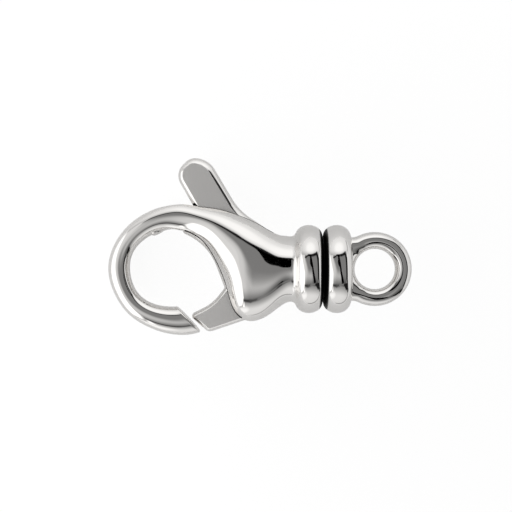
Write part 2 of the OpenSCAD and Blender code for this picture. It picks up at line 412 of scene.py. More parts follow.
def combined(mesh, tools, operation):
    """Mesh with closed tool meshes cut away from it, or joined to it, and each tool used up."""
    base = placed("base", mesh)
    helpers = [base]
    for tool in tools:
        helper = placed("tool", tool)
        helpers.append(helper)
        cut = base.modifiers.new("cut", "BOOLEAN")
        cut.operation = operation
        cut.solver = "EXACT"
        cut.object = helper
    bpy.context.view_layer.update()
    done = bpy.data.meshes.new_from_object(base.evaluated_get(bpy.context.evaluated_depsgraph_get()))
    for helper in helpers:
        bpy.data.objects.remove(helper)
    return done


def turned(profile, sides, name):
    """Closed solid turned about the swivel's axis: each [X, radius] of the profile is a circle."""
    angle = full_turn(sides)
    x, r = np.asarray(profile, float).T[:, :, None]
    return grid_mesh(np.stack([x + 0 * angle, r * np.cos(angle), r * np.sin(angle)], axis=2), name)


def plug(ends, r, name):
    """Closed cylinder along the swivel's axis, between two X."""
    return turned([[ends[0], 0], [ends[0], r], [ends[1], r], [ends[1], 0]], 64, name)


def upright(centre, r, half_height, sides, name):
    """Closed cylinder along Z, from circles of radius 0, r, r and 0."""
    angle = full_turn(sides)
    radius = np.array([0, r, r, 0])[:, None]
    z = half_height * np.array([-1, -1, 1, 1])[:, None]
    return grid_mesh(np.stack([centre[0] + radius * np.cos(angle), centre[1] + radius * np.sin(angle),
                               z + 0 * angle], axis=2), name)


def rim_profile(x, gap_side, start, end, count):
    """Stretch of a collar's rounded rim, half an ellipse on the rim's radius: [X, radius] at even
    angles, in degrees from the eye's side over the top. The side by the gap between the collars, 1
    or -1, is a little fuller: its roundness is 2 plus fullness times the squared cosine."""
    q = np.radians(np.linspace(start, end, count))
    fullness = 0.35
    side = np.clip(gap_side * np.cos(q), 0, 1)
    c, s = polar(q, 2 + fullness * side**2)
    return np.stack([x + COLLAR_HALF_W * c, RIM_R + (COLLAR_R - RIM_R) * s], axis=1)


def shoulder_profile(fillet):
    """First collar's profile from its flat face, over the rim and down a hollow fillet to the neck. The
    fillet is a circle that lies on the neck and just touches the rim's ellipse, found where a
    circle moved along the neck comes as near to it as its own radius."""
    per_degree = 4
    rim = rim_profile(COLLAR1_X, 1, 0, 180, 180 * per_degree + 1)
    centres = np.linspace(-1.0, COLLAR1_X - COLLAR_HALF_W, 400)
    gaps = np.hypot(centres[:, None] - rim[:, 0], NECK_R + fillet - rim[:, 1])
    centre = np.interp(-fillet, -gaps.min(axis=1), centres)
    touch = np.hypot(centre - rim[:, 0], NECK_R + fillet - rim[:, 1]).argmin()
    turn = np.arctan2(rim[touch, 1] - NECK_R - fillet, rim[touch, 0] - centre)
    q = np.linspace(turn, -np.pi / 2, 14)[1:]
    hollow = [centre, NECK_R + fillet] + fillet * circle(q)
    return np.concatenate([rim_profile(COLLAR1_X, 1, 0, touch / per_degree, 44), hollow])


def body_curves(settings):
    """Smooth table of the whole body from the first collar's face to the open end of the hook, at
    even places along it, with the places themselves and that of the neck."""
    x, r = shoulder_profile(settings.shoulder_fillet / MM).T
    rows = np.stack([x, r, x, -r, r, np.full(len(x), 2.0)], axis=1)
    rows = np.concatenate([rows, SECTIONS])
    hold_profile, hold_neck, samples = 1e5, 1e3, 1100
    weights = np.concatenate([np.full(len(x), hold_profile), [hold_neck], np.ones(len(SECTIONS) - 1)])
    steps = (np.linalg.norm(np.diff(rows[:, :2], axis=0), axis=1)
             + np.linalg.norm(np.diff(rows[:, 2:4], axis=0), axis=1)) / 2
    places = np.concatenate([[0], np.cumsum(steps)])
    t, curves = fair(places, rows, weights, samples, settings.evenness, places[len(x)])
    return t, curves, places[len(x)]


def body_places(t, neck, settings):
    """Places of the body's rings: close together on the collar, further apart along the hook."""
    collar_rings = 56
    collar = np.linspace(0, neck, collar_rings)
    hook = np.linspace(neck, t[-1], settings.rings)[1:]
    return np.concatenate([collar, hook])


def front_side(rings, rim_z, open_outer, open_inner, around, edge):
    """Front half of the body as a grid of points: across the rounded edge at the outer rim, over the
    front, and across the inner rim. A rim is where the section meets the slot's wall. Where the
    slot is open its edge is a parabola between a point a little up the surface and one a little
    down the wall, and where it is closed the same points lie on the surface."""
    outer, inner, half_t, roundness = sections(rings)
    mid, half = (outer + inner) / 2, (outer - inner) / 2
    along = half / np.linalg.norm(half, axis=1, keepdims=True)
    high = rim_z[:, None] / half_t
    out = (1 - high**roundness) ** (1 / roundness)
    start = np.arctan2(high, out)
    turn = edge / half_t

    def surface(angle):
        c, s = polar(angle, roundness)
        flat = mid[:, None, :] + half[:, None, :] * c[:, :, None]
        return raised(flat, half_t * s)

    front = surface(start + turn + (np.pi - 2 * (start + turn)) * np.linspace(0, 1, around))
    edge_faces = 5
    part = np.linspace(0, 1, edge_faces + 1)[:-1]

    def rim(side, opened):
        """From the wall's end of the edge to the surface's, on the outer side (1) or the inner."""
        on_surface = surface(np.pi * (side < 0) + side * (start + turn * part))
        corner = surface(np.pi * (side < 0) + side * start)
        top = surface(np.pi * (side < 0) + side * (start + turn))
        foot = corner.copy()
        foot[:, 0, :2] -= side * along * edge
        k = part[None, :, None]
        bowed = (1 - k) ** 2 * foot + 2 * k * (1 - k) * corner + k**2 * top
        return on_surface + (bowed - on_surface) * opened[:, None, None]

    return np.concatenate([rim(1, open_outer), front, rim(-1, open_inner)[:, ::-1]], axis=1)


def strip(rings, rim_z, side, columns, crown):
    """Closed stretch of the body's edge between the two rims, on the outer side (1) or the inner
    (-1): points at even heights from the front rim to the back one. They lie on the section where
    crown is 1, and on the straight line between the rims where it is 0."""
    outer, inner, half_t, roundness = sections(rings)
    z = rim_z[:, None] * np.linspace(1, -1, columns + 1)
    out = (1 - np.abs(z / half_t) ** roundness) ** (1 / roundness)
    out = out[:, :1] + (out - out[:, :1]) * crown[:, None]
    flat = ((outer + inner) / 2)[:, None, :] + side * ((outer - inner) / 2)[:, None, :] * out[:, :, None]
    return raised(flat, z)


def slot_ends(first_outer, last_outer, first_inner, last_inner):
    """Lines of the slot's two end walls, each from its outer rim to its inner one: by the neck a
    straight line that clears the open trigger's tab, the circle round the hub and a straight line
    again, at the hook's top a straight line."""
    neck_points, top_points = 14, 24
    hub = PIVOT + SLOT_END_R * circle(np.radians(np.linspace(*SLOT_HUB)))
    part = np.linspace(0, 1, neck_points)[1:, None]
    neck_line = np.concatenate([first_outer[None], hub, hub[-1] + (first_inner - hub[-1]) * part])
    top_line = last_outer + (last_inner - last_outer) * np.linspace(0, 1, top_points)[:, None]
    return neck_line, top_line


def slot_rings(places, rings, neck):
    """First and last ring of the slot on the outer side (1) and on the inner one (-1)."""
    hooked = places > neck
    return {side: [int(np.argmax(hooked & (rings[:, column] < x))) for x in limits]
            for side, column, limits in ((1, 0, SLOT_OUTER_X), (-1, 2, SLOT_INNER_X))}


def add_front(shape, front, slot):
    """Adds the front half of the body and the same turned to the back, and marks the line of painted
    shade along the slot's edges. slot holds the slot's first and last ring on each side."""
    rim_faces = front.shape[1] - 1
    columns = {1: range(DARK_OUTER), -1: range(rim_faces - DARK_INNER, rim_faces)}
    for flip in (1, -1):
        start = len(shape.faces)
        shape.add_grid(front * [1, 1, flip])
        for side, (first, last) in slot.items():
            for ring in range(first + DARK_START, last - DARK_START):
                shape.mark_painted_shade(start + ring * rim_faces + column for column in columns[side])


def add_slot(shape, front, slot, edges, columns):
    """Adds the slot's walls, painted dark as shade: an end wall by the neck and one at the hook's top,
    each between the ends of the closed edges, and two flat walls inside the front's rims."""
    walls = len(shape.faces)
    lines = slot_ends(*(edges[side, number][0, :2] for side in (1, -1) for number in (0, 1)))
    z = np.linspace(1, -1, columns + 1) * SLOT_HALF_W
    for number, line in enumerate(lines):
        wall = raised(np.repeat(line[:, None], len(z), axis=1), z)
        wall[0], wall[-1] = edges[1, number], edges[-1, number]
        shape.add_grid(wall)
    outer_rim = front[slot[1][0]:slot[1][1] + 1, 0]
    inner_rim = front[slot[-1][0]:slot[-1][1] + 1, -1]
    inside = [raised(line[1:-1], SLOT_HALF_W) for line in lines]
    border = np.concatenate([outer_rim, inside[1], inner_rim[::-1], inside[0][::-1]])
    for flip in (1, -1):
        first = shape.add_points(border * [1, 1, flip])
        shape.faces.append(list(range(first, first + len(border))))
    shape.mark_painted_shade(range(walls, len(shape.faces)))


def body_mesh(settings):
    """Hook, slotted shell, neck and first collar as one closed mesh: the front and the same turned
    to the back, the edge strips where the slot is closed, and the slot's walls."""
    t, curves, neck = body_curves(settings)
    places = body_places(t, neck, settings)
    rings = at_places(t, curves, places)
    slot = slot_rings(places, rings, neck)
    slot_end = places[slot[-1][1]]
    cap = np.interp(places, [neck, neck + RIM_LENGTHS[0], slot_end, slot_end + RIM_LENGTHS[1]],
                    [SLOT_HALF_W / NECK_R, *RIM_SHARES])
    rim_z = np.minimum(SLOT_HALF_W, cap * rings[:, 4])
    index = np.arange(len(places))
    middle = np.array([rings[0, 0], 0, 0])

    def opening(side):
        """0 where the slot is closed, rising to 1 over a few rings where it is open."""
        first, last = slot[side]
        return np.clip(np.minimum(index - first, last - index) / OPENING_RINGS, 0, 1)

    def capped(grid, starts, ends):
        """Grid with the collar's flat face before it, where it starts there, and the hook's open
        end after it, where it ends there. Both are rings drawn in to a point."""
        face = middle + (grid[0] - middle) * FACE_SHARES[:, None, None]
        end = end_rings(grid[-1], rings[-1], settings.end_edge / MM)
        return np.concatenate([face] * starts + [grid] + [end] * ends)

    shape = Patches()
    front = front_side(rings, rim_z, opening(1), opening(-1), settings.around, settings.slot_edge / MM)
    front = capped(front, True, True)
    front_slot = {side: [ring + len(FACE_SHARES) for ring in span] for side, span in slot.items()}
    add_front(shape, front, front_slot)

    # The closed edge is flat where the slot ends, and rounds off from there
    edges = {}
    for side, (first, last) in slot.items():
        for number, (a, b, flat) in enumerate(((0, first, first), (last, len(places) - 1, last))):
            crown = smooth(np.abs(places[a:b + 1] - places[flat]) / ROUND_OFF[side][number])
            grid = strip(rings[a:b + 1], rim_z[a:b + 1], side, settings.strip_columns, crown)
            edges[side, number] = grid[0 if number else -1]
            shape.add_grid(capped(grid, number == 0, number == 1))
    add_slot(shape, front, front_slot, edges, settings.strip_columns)
    return shape.mesh("hook_body_visual")


def end_rings(last, row, edge):
    """Rings past the hook's open end: the section moves on by edge times the sine of a quarter turn
    while it draws in by edge times one minus the cosine, and then closes on a point."""
    mid, half = (row[:2] + row[2:4]) / 2, (row[:2] - row[2:4]) / 2
    across = half / np.linalg.norm(half)
    onwards = np.array([-across[1], across[0], 0.0])
    centre = np.append(mid, 0.0)
    q = np.linspace(0, np.pi / 2, 6)[1:]
    size = min(np.linalg.norm(half), row[4])
    scale = 1 - edge / size * (1 - np.cos(q))
    ahead = onwards * (edge * np.sin(q))[:, None, None]
    rounded = centre + (last - centre) * scale[:, None, None] + ahead
    drawn_in = scale[-1] * np.array([0.8, 0.45, 0])
    flat = centre + (last - centre) * drawn_in[:, None, None] + onwards * edge
    return np.concatenate([rounded, flat])


def lip_mesh(settings):
    """Small tear-shaped lip at the end of the slot, inside the hook: upright ellipses along a short
    line. Their half width is r times the square root of 4 b (1 - b), where b is the share of the way
    raised to the power LIP_BLUNT."""
    start, end = LIP
    k = np.linspace(0, 1, 24)
    bent = k**LIP_BLUNT
    r = settings.lip_r / MM * np.sqrt(np.clip(4 * bent * (1 - bent), 0, None))
    angle = full_turn(32)
    along = (end - start) / np.linalg.norm(end - start)
    side = np.array([-along[1], along[0], 0.0])
    centre = start + (end - start) * k[:, None]
    ring = np.cos(angle)[:, None] * side + np.sin(angle)[:, None] * [0, 0, LIP_TALL]
    return grid_mesh(centre[:, None, :] + r[:, None, None] * ring[None], "lip")


def corner(before, at, after, step):
    """Points along one rounded corner of an outline, at most step degrees apart."""
    p = np.array(at[:2])
    u, v = np.array(before[:2]) - p, np.array(after[:2]) - p
    u, v = u / np.linalg.norm(u), v / np.linalg.norm(v)
    half = math.acos(u @ v) / 2
    centre = p + (u + v) / np.linalg.norm(u + v) * at[2] / math.sin(half)
    start = p + u * at[2] / math.tan(half) - centre
    turn = np.sign(u[1] * v[0] - u[0] * v[1]) * (math.pi - 2 * half)
    q = np.linspace(0, turn, max(2, math.ceil(math.degrees(abs(turn)) / step) + 1))
    return centre + np.stack([start[0] * np.cos(q) - start[1] * np.sin(q),
                              start[0] * np.sin(q) + start[1] * np.cos(q)], axis=1)


def rounded_outline(rows, step, longest):
    """Closed outline with its corners rounded, and no side of it longer than longest."""
    points = np.concatenate([corner(rows[i - 1], row, rows[(i + 1) % len(rows)], step)
                             for i, row in enumerate(rows)])
    steps = np.linalg.norm(np.roll(points, -1, axis=0) - points, axis=1)
    places = np.concatenate([[0], np.cumsum(steps)])
    extra = [np.linspace(a, b, math.ceil((b - a) / longest) + 1)[:-1] for a, b in zip(places, places[1:])]
    loop = np.concatenate([points, points[:1]])
    return at_places(places, loop, np.concatenate(extra))


def inward(points):
    """Directions into a closed outline that runs counterclockwise, halfway between its sides."""
    a, b = points - np.roll(points, 1, axis=0), np.roll(points, -1, axis=0) - points
    u = np.stack([-a[:, 1], a[:, 0]], axis=1) / np.linalg.norm(a, axis=1, keepdims=True)
    v = np.stack([-b[:, 1], b[:, 0]], axis=1) / np.linalg.norm(b, axis=1, keepdims=True)
    return (u + v) / (1 + (u * v).sum(axis=1, keepdims=True))


def blurred(outline, values, reach):
    """Values along a closed outline, each one the mean of its neighbours with bell-curve weights
    of the distance along the outline over reach, times the length that each neighbour stands for."""
    steps = np.linalg.norm(np.roll(outline, -1, axis=0) - outline, axis=1)
    places = np.cumsum(steps) - steps
    apart = np.abs(places[:, None] - places)
    apart = np.minimum(apart, steps.sum() - apart)
    weights = np.exp(-(apart / reach) ** 2 / 2) * (steps + np.roll(steps, 1))
    return weights @ values / weights.sum(axis=1)


def trigger_mesh(settings):
    """Trigger as a plate with rounded edges. At angle q the edge lies in from the outline by its
    width times 1 - cos q, and up from its flat side by its height times sin q. It ends at a crisp
    line where the flat face begins. The edge is wider on the tab, and widest along its back."""
    outline = rounded_outline(TRIGGER, step=5, longest=0.16)
    inwards = inward(outline)
    tab = smooth((outline[:, 1] - TAB_Y) / TAB_BLEND)
    back = tab * smooth(BACK_START - (inwards @ TAB_BACK) / BACK_SPAN)
    gate, front, rear = np.array([settings.rim_width, settings.tab_rim_width, settings.back_rim_width]) / MM
    rim = blurred(outline, gate + (front - gate) * tab + (rear - front) * back, reach=0.6)
    crease = math.radians(90 - settings.crease)
    q = np.linspace(0, crease, 15)
    high = settings.rim_height / MM
    inset = rim[:, None] * (1 - np.cos(q)) / (1 - math.cos(crease))
    z = TRIGGER_HALF_T - high + high * np.sin(q) / math.sin(crease)
    edge = raised(outline[:, None] + inwards[:, None] * inset[:, :, None], z)
    grid = np.concatenate([(edge * [1, 1, -1])[:, ::-1], edge], axis=1)
    grid = np.concatenate([grid, grid[:1]])
    shape = Patches()
    shape.add_grid(grid)

    bore = PIVOT + BORE_R * circle(full_turn(48)[:-1])
    ends = np.stack([np.vstack([bore, bore[:1]])] * 2, axis=1)
    shape.add_grid(raised(ends, TRIGGER_HALF_T * np.array([-1.0, 1.0])))
    border = edge[:, -1, :2]
    loops = [[Vector((x, y, 0)) for x, y in loop] for loop in (border, bore)]
    triangles = tessellate_polygon(loops)
    flat = np.concatenate([border, bore])
    for sign in (1, -1):
        first = shape.add_points(raised(flat, sign * TRIGGER_HALF_T))
        shape.faces += [[first + corner_number for corner_number in face] for face in triangles]
    return shape.mesh("trigger_visual")


def ring_mesh(settings):
    """Eye's ring: ellipses round a circle. Near the collar the outer edge leaves the circle and runs
    level into the collar: its radius is the larger of the circle's and of the flare's height over the
    sine of the angle, which go over into each other as the logarithm of the sum of their exponentials
    does. Inside the collar the edge goes back to the circle, and by the foot the ring is thicker.
    Angles from the foot are in radians."""
    flare, least_sine, sharp = 1.4, 0.5, 18.0
    hide_start, hide_span = np.radians(50), np.radians(25)
    thicker, thick_start, thick_span = 0.12, 1.2, 0.5
    angle = full_turn(240)
    from_foot = np.abs(angle - np.pi)
    level = settings.foot_r / MM / np.maximum(np.abs(np.sin(angle)), least_sine)
    ring = EYE_RING_R + EYE_WIRE_R
    outer = np.log(np.exp(sharp * ring) + np.exp(sharp * level) * (from_foot < flare)) / sharp
    hidden = smooth((hide_start - from_foot) / hide_span)
    outer = outer + (ring - outer) * hidden
    outer = np.where(from_foot < flare, outer, ring)
    inner = EYE_RING_R - EYE_WIRE_R + 0 * angle
    half_t = EYE_WIRE_R * (1 + thicker * smooth((thick_start - from_foot) / thick_span))
    turn = full_turn(64)
    radius = ((outer + inner) / 2)[:, None] + ((outer - inner) / 2)[:, None] * np.cos(turn)
    return grid_mesh(np.stack([EYE_X + radius * np.cos(angle)[:, None], radius * np.sin(angle)[:, None],
                               half_t[:, None] * np.sin(turn)], axis=2), "ring")


def eye_mesh(settings):
    """Second collar with the thin hub, the post and its rivet head, joined to the eye's ring."""
    profile = [[HEAD_X[0], 0], [HEAD_X[0], HEAD_R], [HEAD_X[1], HEAD_R], [HEAD_X[1], POST_R],
               [HUB_DISC[0], POST_R], [HUB_DISC[0], HUB_DISC[2]], [HUB_DISC[1], HUB_DISC[2]]]
    rim = rim_profile(COLLAR2_X, -1, 180, 0, 72)
    profile = np.concatenate([profile, rim, [[COLLAR2_X + COLLAR_HALF_W, 0]]])
    return combined(turned(profile, 160, "eye_visual"), [ring_mesh(settings)], "UNION")


def length_property(name, description, millimetres):
    """Property that holds a length in metres."""
    return FloatProperty(name=name, description=description, default=millimetres * MM,
                         subtype="DISTANCE", unit="LENGTH", precision=5)


def share_property(name, description, value):
    """Property that holds a number from 0 to 1."""
    return FloatProperty(name=name, description=description, default=value, min=0, max=1)


def count_property(name, description, value, least):
    """Property that holds a whole number."""
    return IntProperty(name=name, description=description, default=value, min=least)


def colour_property(name, description, value):
    """Property that holds a colour."""
    return FloatVectorProperty(name=name, description=description, default=value, subtype="COLOR",
                               size=3, min=0, max=1)


def light_property(name, part, value):
    """Property that holds the light of a part of the studio."""
    return FloatProperty(name=name, description="Light of " + part, default=value, min=0)


class ClaspBodySettings(bpy.types.PropertyGroup):
    """Sizes of the cast body."""

    rings: count_property("Rings", "Rings of points along the hook", 330, 100)
    around: count_property("Points around", "Points over each side of a ring", 56, 16)
    strip_columns: count_property("Edge columns", "Faces across the closed edge", 12, 4)
    evenness: FloatProperty(
        name="Evenness", description="How strongly the curves are smoothed", default=0.006)
    shoulder_fillet: length_property(
        "Shoulder fillet", "Radius of the hollow between the neck and the collar", 0.42)
    slot_edge: length_property("Slot edge", "Size of the rounded edge of the slot", 0.10)
    end_edge: length_property("End edge", "Radius of the edge at the open end of the hook", 0.14)
    lip_r: length_property("Lip", "Radius of the small lip at the end of the slot", 0.20)


class ClaspTriggerSettings(bpy.types.PropertyGroup):
    """Sizes of the trigger."""

    rim_width: length_property("Rim width", "Width of the rounded edge of the gate", 0.27)
    tab_rim_width: length_property("Tab rim width", "Width of the rounded edge of the tab", 0.35)
    back_rim_width: length_property(
        "Back rim width", "Width of the rounded edge along the back of the tab", 0.47)
    rim_height: length_property("Rim height", "Height of the rounded edge on each face", 0.52)
    crease: FloatProperty(
        name="Crease", description="Angle between the flat face and the start of the edge, in degrees",
        default=27.0, min=0, max=45)


class ClaspEyeSettings(bpy.types.PropertyGroup):
    """Sizes of the swivel eye."""

    foot_r: length_property("Foot", "Half the height of the eye where it meets its collar", 2.38)


class ClaspMetalSettings(bpy.types.PropertyGroup):
    """Colours and finish of the metal."""

    metal: colour_property("Metal", "Colour of the polished white metal", (0.905, 0.888, 0.868))
    # Dark colour painted on as shade between the collars, and on and along the slot's walls
    painted_dark_colour: colour_property("Painted shade", "Colour of the metal where it is left dark", (0.012, 0.011, 0.010))
    gloss_roughness: share_property("Gloss roughness", "Roughness of the polished metal", 0.05)
    satin_roughness: share_property("Satin roughness", "Roughness of the trigger's flat faces", 0.44)
    satin_shade: FloatProperty(
        name="Satin shade", description="Brightness of the flat faces against the polished metal",
        default=0.99, min=0, max=2)
    waviness: FloatProperty(
        name="Waviness", description="Height of the uneven polish, in millimetres", default=0.0015, min=0)


class ClaspStageSettings(bpy.types.PropertyGroup):
    """Brightness of the studio's parts."""

    tent: light_property("Tent", "the tent all round", 0.74)
    softbox: light_property("Softbox", "the softbox", 1.25)
    spot: light_property("Spots", "the domes' brighter spots", 1.06)
    outline: light_property("Outline", "the softboxes' frames", 0.30)
    card_light: light_property("Card, light", "the card's palest side", 0.66)
    card_mid: light_property("Card, middle", "the card's pale parts", 0.52)
    card_dark: light_property("Card, dark", "the card's dark part", 0.21)


class Wire:
    """One value in a node tree. Sums, products and the methods below add Math nodes to the tree."""

    def __init__(self, tree, socket):
        self.tree, self.socket = tree, socket

    def math(self, operation, *others, clamp=False):
        """A Math node of this value and others, which are wires or numbers."""
        node = self.tree.nodes.new("ShaderNodeMath")
        node.operation, node.use_clamp = operation, clamp
        for entry, value in zip(node.inputs, (self, *others)):
            if isinstance(value, Wire):
                self.tree.links.new(value.socket, entry)
            else:
                entry.default_value = value
        return Wire(self.tree, node.outputs[0])

    def __add__(self, other):
        return self.math("ADD", other)

    def __sub__(self, other):
        return self.math("SUBTRACT", other)

    def __mul__(self, other):
        return self.math("MULTIPLY", other)

    def __truediv__(self, other):
        return self.math("DIVIDE", other)

    def top(self, other):
        """The larger of this value and another."""
        return self.math("MAXIMUM", other)

    def mix(self, other, share):
        """This value, going over to another as the share goes from 0 to 1."""
        return self + (share * ((other if isinstance(other, Wire) else self * 0 + other) - self))

    def step(self, low, high):
        """Smooth step from 0 at low to 1 at high."""
        node = self.tree.nodes.new("ShaderNodeMapRange")
        node.interpolation_type = "SMOOTHSTEP"
        self.tree.links.new(self.socket, node.inputs["Value"])
        for entry, value in (("From Min", low), ("From Max", high)):
            node.inputs[entry].default_value = value
        if low > high:
            node.inputs["From Min"].default_value, node.inputs["From Max"].default_value = high, low
            node.inputs["To Min"].default_value, node.inputs["To Max"].default_value = 1, 0
        return Wire(self.tree, node.outputs["Result"])


def new_material(name, blank=False):
    """Material and its node tree, with the default nodes or blank."""
    material = bpy.data.materials.new(name)
    material.use_nodes = True
    if blank:
        material.node_tree.nodes.clear()
    return material, material.node_tree


def tent_angles(tree):
    """Direction of a point of the tent from its middle: how far it lies to the right and above the
    line to the camera, in degrees, so that the pair's length is its angle from that line."""
    across, up, towards = (place_wire(tree, axis, to_row(TENT_CENTRE)) / TENT_R
                           for axis in (AXIS_X, AXIS_Y, AXIS_Z))
    flat = (across * across + up * up).math("SQRT").top(1e-6)
    angle = towards.math("MINIMUM", 1.0).top(-1.0).math("ARCCOSINE") * (180 / math.pi)
    return angle * across / flat, angle * up / flat


def panel(x, y, left, right, low, high, soft):
    """Soft-edged box in the sky: 1 inside its four edges and 0 past them. soft holds the width of
    the left, right, lower and upper edge."""
    return (x.step(left - soft[0] / 2, left + soft[0] / 2) * x.step(right + soft[1] / 2, right - soft[1] / 2)
            * y.step(low - soft[2] / 2, low + soft[2] / 2) * y.step(high + soft[3] / 2, high - soft[3] / 2))


def dome(x, y, place, reach, roundness):
    """Size of a half superellipse that goes through each direction: 1 along the edge of the dome
    that stands on its place and reaches so far to each side and up, or down where it is negative."""
    out = ((x - place[0]) / reach[0]).math("ABSOLUTE").math("POWER", roundness)
    up = ((y - place[1]) / reach[1]).top(0.0).math("POWER", roundness)
    return (out + up).math("POWER", 1 / roundness)


def stroke(x, y, start, end, widths, soft):
    """Soft-edged straight line in the sky, from one width at its start to another at its end."""
    along = np.subtract(end, start)
    share = along / (along @ along)
    part = ((x - start[0]) * share[0] + (y - start[1]) * share[1]).math("ADD", 0.0, clamp=True)
    aside = x - start[0] - part * along[0]
    above = y - start[1] - part * along[1]
    distance = (aside * aside + above * above).math("SQRT")
    beyond = distance - (part * ((widths[1] - widths[0]) / 2) + widths[0] / 2)
    return beyond.step(soft / 2, -soft / 2)


def tent_material(settings):
    """Light on the inside of the tent: a softbox at the left and dome-shaped ones above and below
    the camera, a grey card round the lens, and the flags."""
    material, tree = new_material("tent_light", blank=True)
    x, y = tent_angles(tree)
    light = x * 0 + settings.tent
    for place, reach, roundness, halo, spot, halo_light, (fade, share) in DOMES:
        size = dome(x, y, place, reach, roundness)
        away = math.copysign(1, reach[1])
        level = y.step(place[1], place[1] + 2 * away)
        shade = y.step(place[1], place[1] + fade * away) * share + (1 - share)
        light = light.mix(settings.outline, size.step(*DOME_FRAME[0]) * size.step(*DOME_FRAME[1]) * level)
        inside = x * 0 + settings.tent * DOME_BASE
        for (mid_x, mid_y, half_x, half_y), bright in ((halo, halo_light), (spot, settings.spot)):
            glow = ((x - mid_x) / half_x).math("POWER", 2.0) + ((y - mid_y) / half_y).math("POWER", 2.0)
            inside = inside.mix(bright, glow.step(*GLOW_EDGE))
        light = light.mix(inside * shade, size.step(*DOME_INSIDE) * level)
    light = light.mix(settings.softbox, panel(x + y.top(LEAN_FROM) * LEAN, y, *LEFT_BOX))
    aslant = (x + y * CARD_SLANT).step(*CARD_PALE)
    pale = aslant.top(y.step(*CARD_LOW[0]) * x.step(*CARD_LOW[1]))
    card = (x * 0 + settings.card_dark).mix(settings.card_mid, pale)
    card = card.mix(settings.card_light, aslant * x.step(*CARD_PALEST))
    fade, share = CARD_FADE
    card = card * (y.step(*fade) * -share + 1)
    light = light.mix(card, panel(x, y, *CARD))
    for start, end, widths, soft, dark in FLAGS:
        light = light.mix(dark, stroke(x, y, start, end, widths, soft))
    glow = tree.nodes.new("ShaderNodeEmission")
    out = tree.nodes.new("ShaderNodeOutputMaterial")
    tree.links.new(light.socket, glow.inputs["Color"])
    tree.links.new(glow.outputs[0], out.inputs["Surface"])
    material.cycles.emission_sampling = "NONE"
    return material


def black_material():
    """Black card that throws no light back."""
    material, tree = new_material("black_card")
    shader = tree.nodes["Principled BSDF"]
    shader.inputs["Base Color"].default_value = (0, 0, 0, 1)
    shader.inputs["Specular IOR Level"].default_value = 0
    shader.inputs["Roughness"].default_value = 1
    return material


def tent_mesh():
    """Sphere round the clasp: circles at even angles, closed on its two poles."""
    sides = 128
    down = np.linspace(0, np.pi, sides // 2 + 1)[:, None]
    turn = full_turn(sides)
    ball = np.stack([np.sin(down) * np.cos(turn), np.sin(down) * np.sin(turn),
                     np.cos(down) + 0 * turn], axis=2)
    return grid_mesh(TENT_CENTRE + TENT_R * ball, "tent")


def unseen(name, mesh, material):
    """Object of the stage that the metal reflects but the camera looks through."""
    mesh.materials.append(material)
    thing = placed(name, mesh)
    thing.visible_camera = False


def white_world():
    """Even white all round, outside the tent."""
    world = bpy.data.worlds.new("white")
    world.use_nodes = True
    world.node_tree.nodes["Background"].inputs["Color"].default_value = (1, 1, 1, 1)
    return world


def floor_material():
    """Plain white floor. The camera sees mostly an even glow, with a faint shadow by the clasp, and
    the metal sees mostly a white sheet that is lit by the studio."""
    material, tree = new_material("white_floor", blank=True)
    out = tree.nodes.new("ShaderNodeOutputMaterial")
    both = tree.nodes.new("ShaderNodeAddShader")
    glow = tree.nodes.new("ShaderNodeEmission")
    sheet = tree.nodes.new("ShaderNodeBsdfDiffuse")
    seen = Wire(tree, tree.nodes.new("ShaderNodeLightPath").outputs["Is Camera Ray"])
    parts = ((FLOOR_GLOW, glow.inputs["Strength"]), (FLOOR_WHITE, sheet.inputs["Color"]))
    for (camera, metal), entry in parts:
        tree.links.new((seen * (camera - metal) + metal).socket, entry)
    tree.links.new(glow.outputs[0], both.inputs[0])
    tree.links.new(sheet.outputs[0], both.inputs[1])
    tree.links.new(both.outputs[0], out.inputs["Surface"])
    return material


def place_wire(tree, axis, origin):
    """Place of a surface point along one axis of the drawing, in millimetres."""
    place = tree.nodes.new("ShaderNodeTexCoord").outputs["Object"]
    dot = tree.nodes.new("ShaderNodeVectorMath")
    dot.operation = "DOT_PRODUCT"
    tree.links.new(place, dot.inputs[0])
    dot.inputs[1].default_value = axis
    return (Wire(tree, dot.outputs["Value"]) - float(origin @ axis)) / MM


def noise_wire(tree, scale, stretch, detail):
    """Noise of about 0 to 1 in the clasp's own drawing: scale is in waves a millimetre, and stretch
    draws it out along the drawing's three axes."""
    axes = (AXIS_X, AXIS_Y, AXIS_Z)
    joined = tree.nodes.new("ShaderNodeCombineXYZ")
    for entry, axis, longer in zip(joined.inputs, axes, stretch):
        tree.links.new((place_wire(tree, axis, DRAWING_ORIGIN) / longer).socket, entry)
    noise = tree.nodes.new("ShaderNodeTexNoise")
    noise.inputs["Scale"].default_value = scale
    noise.inputs["Detail"].default_value = detail
    tree.links.new(joined.outputs[0], noise.inputs["Vector"])
    return Wire(tree, noise.outputs["Fac"])


